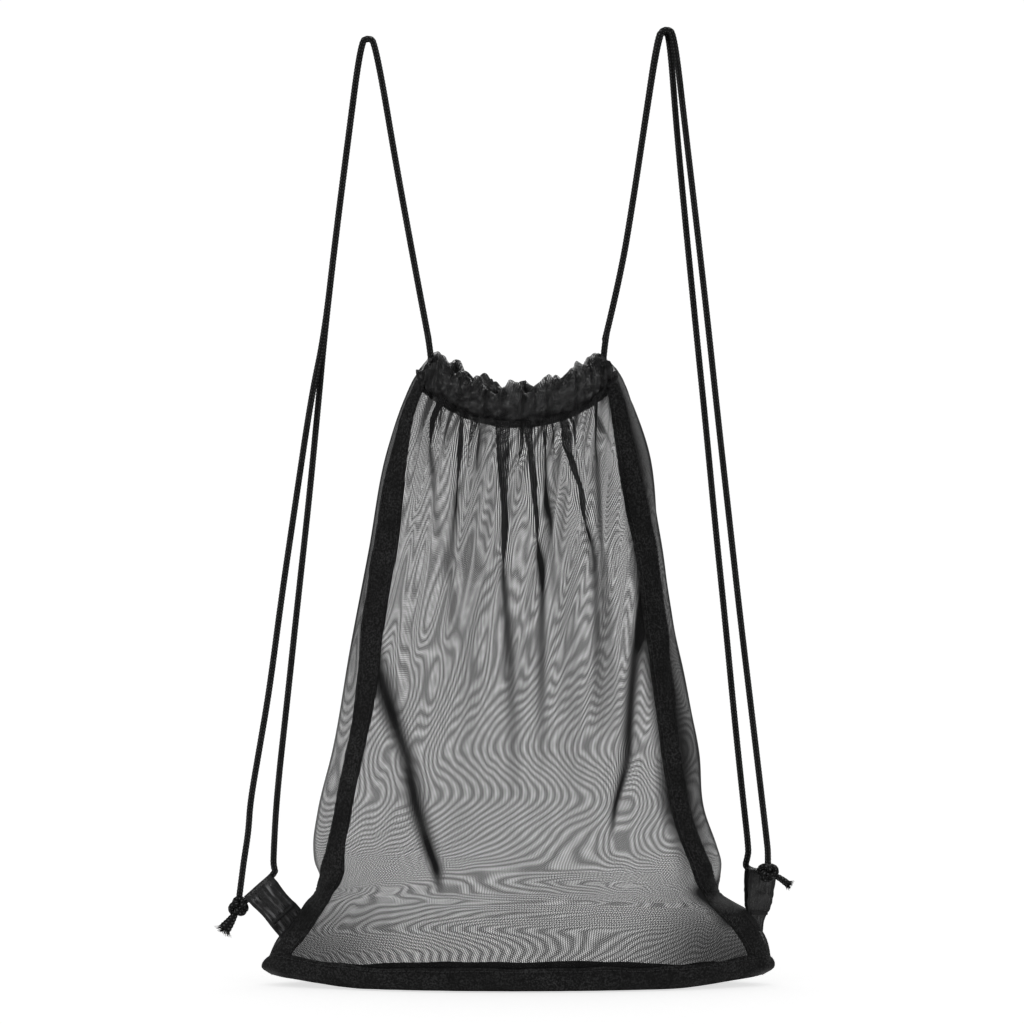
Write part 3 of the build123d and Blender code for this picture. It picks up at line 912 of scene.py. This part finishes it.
def tape_stitch_runs():
    """Two rows down each side tape and one round the bottom band, front and back."""
    row_place = 0.39  # of the tape's width, from its middle
    band_share = 0.86  # of the band's height
    runs = []
    heights = np.linspace(22, 404, 150)
    for side in ("left", "right"):
        for place in (-row_place, row_place):
            line = side_tape_points(side, heights, [place], 1.0)[:, 0]
            out = side_tape_points(side, heights, [place], 2.0)[:, 0] - line
            push = tape_push(line, heights, place) + TAPE_THICKNESS + 0.05
            runs.append((line + out * push[:, None], unit(out)))
    for facing in ("back", "front"):
        angles = np.linspace(*half_turn(facing, 0.09), 240)
        line = rumpled_band(angles, band_share)
        flat = band_points(angles, band_share, BAND_OUT)
        outward = unit(band_points(angles, band_share, BAND_OUT + 1) - flat)
        runs.append((line + outward * (BAND_THICKNESS + 0.05), outward))
    return runs


def casing_stitch_runs():
    """The row that closes the casing, round its front and its back."""
    sewn_turn = 0.125  # how far round the tunnel the row lies
    runs = []
    for facing, seed in casing_seeds.items():
        angles = np.linspace(*half_turn(facing, 0.12), 420)
        line = casing_points(angles, np.full(len(angles), sewn_turn), seed)
        outward = np.column_stack([outward_at(angles), np.zeros(len(angles))])
        crumple(line, 0.0, seed)
        runs.append((line + outward * 0.3, outward))
    return runs


# ---- tabs


TAB_WIDTH = 24.0
TAB_FOLD_RADIUS = 2.5
RIBBON = 0.7  # thickness
tab_places = {  # base, tip, and how far the tab twists about its own length, in degrees
    "left": ((-157.3, 0, 42.3), (-181.0, 0, 69.2), 0),
    "right": ((166.2, 0, 41.6), (169.3, 0, 81.1), 37),
}
tab_painted_highlight = {"left": 1.0, "right": 0.12}  # how much painted highlight each tab's base colour gets: the right tab is creased and dull, and gets little
tab_root_share = {"left": 1.0, "right": 0.5}  # the right tab is drawn together where it is caught


def ribbon_look(name):
    """Glossy satin ribbon with dull woven edges and soft creases. Highlights are painted into its base
    colour: light streaks along the satin and a broken light line beside each selvedge.
    """
    look = Look(name, (0.004, 0.004, 0.0045), 0.3, 0.3)
    across, along = look.uv()
    from_middle = look.math("ABSOLUTE", look.minus(across, TAB_WIDTH / 2 * MM))
    selvedge = look.remap(from_middle, 0.0086, 0.0096, smooth=True)
    weave = look.times(look.wave(along, 0.0005), look.wave(across, 0.0006))
    low = look.bump(weave, 0.00005, 0.7)
    lengthways = {0: look.times(across, 300.0), 1: look.times(along, 45.0)}
    streaks = look.noise(1.0, 3.0, where=look.node("ShaderNodeCombineXYZ", lengthways).outputs[0])
    middle = look.bump(streaks, 0.003, 0.8, below=low)
    look.bump(selvedge, 0.0004, 0.7, below=middle)
    look.feed(look.shader.inputs["Roughness"], look.remap(selvedge, 0.0, 1.0, 0.25, 0.6))
    # Painted highlights: light streaks on the satin part and a light line near each selvedge, in the base
    # colour.
    satin_part = look.minus(1.0, selvedge)
    shine = look.times(satin_part, look.remap(streaks, 0.5, 0.66))
    from_ridge = look.math("ABSOLUTE", look.minus(from_middle, 0.0092))
    selvedge_highlight = look.minus(1.0, look.remap(from_ridge, 0.0, 0.0009))
    selvedge_highlight = look.times(selvedge_highlight, look.remap(look.noise(160.0), 0.4, 0.65, 0.0, 0.7))
    shine = look.times(shine, look.attribute("painted_streak_glints"))
    selvedge_highlight = look.times(selvedge_highlight, look.attribute("sheen"))
    look.tint(look.math("MAXIMUM", shine, selvedge_highlight), (0.0012, 0.0012, 0.0014), (0.13, 0.13, 0.133))
    return look.material


def tab_axes(side):
    """A tab's base, its length, and its directions along, across and out of the ribbon."""
    base, tip, twist = tab_places[side]
    base, tip = np.array(base, float), np.array(tip, float)
    along = (tip - base) / np.linalg.norm(tip - base)
    out = np.array((0.0, -1.0, 0.0))
    across = np.cross(out, along)
    turn = math.radians(twist)
    turned_across = across * math.cos(turn) + out * math.sin(turn)
    turned_out = out * math.cos(turn) - across * math.sin(turn)
    return base, np.linalg.norm(tip - base), along, turned_across, turned_out


def ribbon_tab(name, side, look):
    """Ribbon folded round the cord, both ends caught under the side tape."""
    base, length, along, across, out = tab_axes(side)
    middle = length - TAB_FOLD_RADIUS - 1.0
    radius = TAB_FOLD_RADIUS + 0.45
    closed_gap = 0.55  # between the ribbon's two layers and the tab's middle, where they are sewn
    straight = np.linspace(-5.0, middle, 34)
    gap = closed_gap + (radius - closed_gap) * smooth_step(straight, 2.0, middle + 2)
    bend = np.linspace(-math.pi / 2, math.pi / 2, 15)[1:-1]
    there = np.concatenate([straight, middle + radius * np.cos(bend), straight[::-1]])
    depth = np.concatenate([gap, -radius * np.sin(bend), -gap[::-1]])
    reach = distances(np.stack([there, depth], axis=1))
    places = np.linspace(-TAB_WIDTH / 2, TAB_WIDTH / 2, 29)
    pinch = 1 - 0.07 * np.exp(-(((there - middle * 0.5) / 9.0) ** 2))
    pinch = pinch * (1 - (1 - tab_root_share[side]) * (1 - smooth_step(there, 0, 17)))
    spread = (places[None, :] * pinch[:, None])[..., None] * across
    grid = base + there[:, None, None] * along + spread + depth[:, None, None] * out
    free = smooth_step(there, 1.0, 8.0) * (1 - 0.8 * smooth_step(there, middle - 5, middle + 1))
    wave = rumple(grid, 7.0, 2.0, 21) + rumple(grid, 3.4, 0.8, 23)
    facing = np.where(depth >= 0, 1.0, -1.0)[:, None]
    grid = grid + ((np.abs(wave) * facing * 0.8 + wave * 0.35) * free[:, None])[..., None] * out
    grid = grid + (rumple(grid, 11.0, 0.8, 27) * free[:, None])[..., None] * along
    piece = cloth(name, look, grid, (places + TAB_WIDTH / 2) * MM, reach * MM)
    # Painted highlights: two light bands along the tab's straight part, fading out before the fold, stored
    # for the ribbon's base colour.
    sheen = np.tile(smooth_step(middle - there, 0.0, 5.0)[:, None] * tab_painted_highlight[side], (1, len(places)))
    glints = np.exp(-(((places + 3.5) / 3.5) ** 2)) + 0.8 * np.exp(-(((places - 6.5) / 2.0) ** 2))
    set_attribute(piece, "painted_streak_glints", sheen * glints)
    set_attribute(piece, "sheen", sheen)
    smooth = piece.modifiers.new("smooth", "SUBSURF")
    smooth.levels = 1
    smooth.render_levels = 1
    return thicken(piece, RIBBON)


def bartack(name, side, look):
    """Dense zigzag of thread across both layers of a tab, near its base, on both faces."""
    base, _, along, across, out = tab_axes(side)
    row = base + 8.0 * along
    half = 6.5 + 3.0 * tab_root_share[side] ** 2
    half_height = 1.15
    bar = 4.0  # length of the long stitches under the zigzag
    turns = 26
    overrun = 0.35  # of half a zag, past each end of it
    runs = []
    for face in (1, -1):
        outward = np.tile(face * out, (5, 1))
        zigzag = []
        for k in range(2 * turns + 1):
            up = half_height if k % 2 else -half_height
            zigzag.append(row + up * along + half * (k / turns - 1) * across + face * 2.15 * out)
        for a, b in zip(zigzag, zigzag[1:]):
            bulge = a + (b - a) * 0.5 + face * 0.25 * out
            first, last = a - (bulge - a) * overrun, b + (b - bulge) * overrun
            runs.append((np.array([first, a, bulge, b, last]), outward))
        for place in np.linspace(-half, half - bar, 4):
            a = row + place * across + face * 1.95 * out
            runs.append((np.linspace(a, a + bar * across, 5), outward))
    return stitched(name, runs, look, length=2.3, gap=0.05, radius=0.26)


# ---- knots and cut ends

KNOTTED_CORD = 4.3  # diameter where the knot squeezes it
TAIL_CORD = 4.4


def knot(name, centre, lean, look):
    """Pulled-tight overhand knot, as the line of a trefoil followed by the cord."""
    turn = np.linspace(0.0, 2 * math.pi, 240)
    wide = 3.3 + 1.9 * np.cos(3 * turn)
    line = np.stack([wide * np.cos(2 * turn), 2.1 * np.sin(3 * turn), 1.12 * wide * np.sin(2 * turn)], axis=1)
    line = line @ np.array(Matrix.Rotation(math.radians(lean), 3, "Y").transposed())
    return braided_tube(name, (line + centre) * MM, KNOTTED_CORD * MM, look, spacing=0.5 * MM, sides=22)


def loose_fibres(name, root, ahead, bow, flare, seed, look):
    """Bundle of short fibres that spread from the cut end of the cord."""
    side = np.cross(ahead, bow)
    draw = random.Random(seed)
    sides = 4
    t = np.linspace(0, 1, 4)[:, None]
    bows, across = np.tile(bow, (len(t), 1)), np.tile(side, (len(t), 1))
    points, faces = [], []
    for _ in range(130):
        angle = draw.uniform(0, 2 * math.pi)
        spread = math.sqrt(draw.uniform(0, 1))
        out = math.cos(angle) * bow + math.sin(angle) * side
        reach = draw.uniform(2.2, 4.4)
        thick = draw.uniform(0.13, 0.2)
        curl = draw.uniform(-0.5, 0.5)
        tube, near, far = closed_faces(len(points), len(t), sides)
        faces += tube + [far, near[::-1]]
        middles = root + out * spread * flare * (1.9 + 1.5 * t * t + curl * t) + ahead * reach * t
        points.extend(tube_rings(middles, bows, across, thick * (1 - 0.5 * t), sides).reshape(-1, 3))
    fibres = mesh_object(name, look, np.array(points) * MM, faces, np.zeros((len(points), 2)))
    set_attribute(fibres, "relief", np.full(len(points), 0.7))
    return fibres


def frayed_tail(name, centre, end, flare, seed, look):
    """Cut end of the cord: it spreads beyond the knot and ends in loose fibres."""
    centre, end = np.array(centre, float), np.array(end, float)
    length = np.linalg.norm(end - centre)
    ahead = (end - centre) / length
    bow = np.cross(ahead, (0.0, 1.0, 0.0))
    share = np.linspace(0.15, 0.86, 30)
    line = centre + ahead * (length * share)[:, None] + bow * (0.9 * np.sin(math.pi * share))[:, None]
    taper = (0.85, flare)
    cord_end = braided_tube(name, line * MM, TAIL_CORD * MM, look, spacing=0.5 * MM, taper=taper)
    root = line[-1] - ahead * 1.2
    return cord_end, loose_fibres(name + "_fibres", root, ahead, bow, flare, seed, look)


# ---- pieces and the bodies that they ride on

net_sheets = {
    "front_panel": net_panel(
        "front_net", "front", net_look("front_net", NET_PITCH * MM, turn=0.0),
        front_pleats, front_creases, front_waves, size=(0.30, 0.39), columns=420,
    ),
    "back_panel": net_panel(
        "back_net", "back", net_look("back_net", BACK_PITCH * MM, turn=0.05),
        back_pleats, back_creases, back_waves, size=(0.355, 0.39), columns=440,
    ),
}
for node, piece in net_sheets.items():
    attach(piece, "root")
    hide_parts(node)

hem = net_look("casing_net", NET_PITCH * MM, turn=0.4, roughness=0.34, specular=0.3)
tape = tape_look("seam_tape", 0.9 * MM)
thread = thread_look()
satin = ribbon_look("satin_ribbon")

body_pieces = [  # piece, CAD node that it stands for, material slot
    (casing_net("front_casing_net", "front", hem), "front_casing", "hem_net"),
    (casing_net("back_casing_net", "back", hem), "back_casing", "hem_net"),
    (side_tape("left_seam_tape", "left", tape), "left_side_tape", "seam_tape"),
    (side_tape("right_seam_tape", "right", tape), "right_side_tape", "seam_tape"),
    (bottom_band("bottom_band", tape), "bottom_tape", "seam_tape"),
    (stitched("tape_stitches", tape_stitch_runs(), thread), "tape_stitching", "thread"),
    (stitched("casing_stitches", casing_stitch_runs(), thread), "casing_stitching", "thread"),
    (ribbon_tab("left_ribbon_tab", "left", satin), "left_tab", "ribbon"),
    (ribbon_tab("right_ribbon_tab", "right", satin), "right_tab", "ribbon"),
    (bartack("left_bartack", "left", thread), "left_tab_bartack", "thread"),
    (bartack("right_bartack", "right", thread), "right_tab_bartack", "thread"),
]


def channel_route(sign, level):
    """Route of a drawcord through the casing, in at the end on its own side and back out there. level is its
    height above the middle of the casing."""
    width, deep = CASING_RING
    ring = []
    for angle in np.radians(np.linspace(26, 334, 23)):
        x = sign * width * math.cos(angle)
        ring.append((x, -deep * math.sin(angle), CASING_MIDDLE + float(droop(x)) + level))
    low = CASING_MIDDLE + float(droop(59.6)) + level
    way_in = beside([(sign * 62.1, 452), (sign * 60.4, 442), (sign * 58.6, low)], -HALF_SPACING)
    way_out = beside([(x, z) for x, _, z in reversed(way_in)], HALF_SPACING)
    return way_in + ring + way_out


for side, sign, level in (("left", -1, 2.6), ("right", 1, -2.4)):
    line = centreline(side + "_channel", channel_route(sign, level))
    piece = braided_tube(side + "_channel_cord", line, CORD * MM, braid, sides=16)
    body_pieces.append((piece, side + "_drawcord_casing_run", "cord"))

for piece, node, slot in body_pieces:
    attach(piece, "root")
    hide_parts(node)

tail_ends = {  # end of the tail, how far it spreads, the turn of its knot in degrees, and its fibres' seed
    "left": ((-205.5, 0, 35.4), 2.2, 35, 5),
    "right": ((189.5, -16.7, 69.0), 1.2, 95, 9),
}
ends = {}
for side, (tail_end, flare, lean, seed) in tail_ends.items():
    low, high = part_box(side + "_knot")
    centre = np.array((low + high) / 2) / MM
    tied = knot(side + "_tied_knot", centre, lean, braid)
    tail, fibres = frayed_tail(side + "_frayed_tail", centre, tail_end, flare, seed, braid)
    ends[side] = [tied, tail, fibres]
    for piece in ends[side]:
        swing_with(piece, side)
    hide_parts(side + "_knot")
    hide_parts(side + "_cord_tail")

for strand, (piece, line) in strands.items():
    side, place = strand.split("_")
    swing_with(piece, side)
    if place == "front":
        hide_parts(strand + "_strand")
    else:
        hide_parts(strand + "_strand", side + "_tab_cord_run")

# ---- studio


def studio():
    """Pale floor, white surroundings, three broad lamps, and the photograph's camera."""
    scene = bpy.context.scene
    scene.view_settings.view_transform = "Standard"

    white = Look("studio_floor", (0.88, 0.88, 0.88), 0.9, 0.05)
    white.bump(white.noise(90.0), 0.0004, 0.1)
    white.shader.inputs["Emission Color"].default_value = (1, 1, 1, 1)
    white.shader.inputs["Emission Strength"].default_value = 0.69
    reach, level = 0.7, -0.0006
    square = [(0, 0), (1, 0), (1, 1), (0, 1)]
    corners = [((2 * u - 1) * reach, (2 * v - 1) * reach, level) for u, v in square]
    floor = mesh_object("studio_floor", white.material, corners, [[0, 1, 2, 3]], square, smooth=False)
    unlit = bpy.data.collections.new("evenly_lit_floor")
    unlit.objects.link(floor)
    unlit.collection_objects[0].light_linking.link_state = "EXCLUDE"

    world = bpy.data.worlds.new("studio")
    world.use_nodes = True
    backdrop = world.node_tree.nodes["Background"]
    backdrop.inputs[0].default_value = (1, 1, 1, 1)
    seen = world.node_tree.nodes.new("ShaderNodeLightPath").outputs["Is Camera Ray"]
    strength = world.node_tree.nodes.new("ShaderNodeMapRange")
    strength.inputs[3].default_value = 0.4  # as the surroundings light the bag
    strength.inputs[4].default_value = 1.02  # as the camera sees them
    world.node_tree.links.new(seen, strength.inputs[0])
    world.node_tree.links.new(strength.outputs[0], backdrop.inputs[1])
    scene.world = world

    aim = Vector((0, 0, 0.28))
    for name, place, size, power in (
        ("key", (-1.5, -1.7, 2.1), 0.7, 60),
        ("fill", (1.9, -1.5, 1.2), 0.6, 18),
        ("rim", (0.7, 1.8, 2.0), 0.9, 34),
    ):
        data = bpy.data.lights.new(name, "AREA")
        data.energy = power
        data.size = size
        lamp = bpy.data.objects.new(name, data)
        lamp.light_linking.receiver_collection = unlit
        lamp.location = place
        lamp.rotation_euler = (aim - Vector(place)).to_track_quat("-Z", "Y").to_euler()
        bpy.context.collection.objects.link(lamp)

    lens = bpy.data.cameras.new("camera")
    lens.sensor_width = 36  # its own millimetres, as for lens.lens
    camera = bpy.data.objects.new("camera", lens)
    target = Vector((-0.0035, 0, 0.3278))
    tilt = math.radians(2)
    distance = 5.0
    width_in_view = 0.7096
    lens.lens = lens.sensor_width * distance / width_in_view
    camera.location = target + distance * Vector((0, -math.cos(tilt), math.sin(tilt)))
    camera.rotation_euler = (target - camera.location).to_track_quat("-Z", "Y").to_euler()
    bpy.context.collection.objects.link(camera)
    scene.camera = camera


studio()
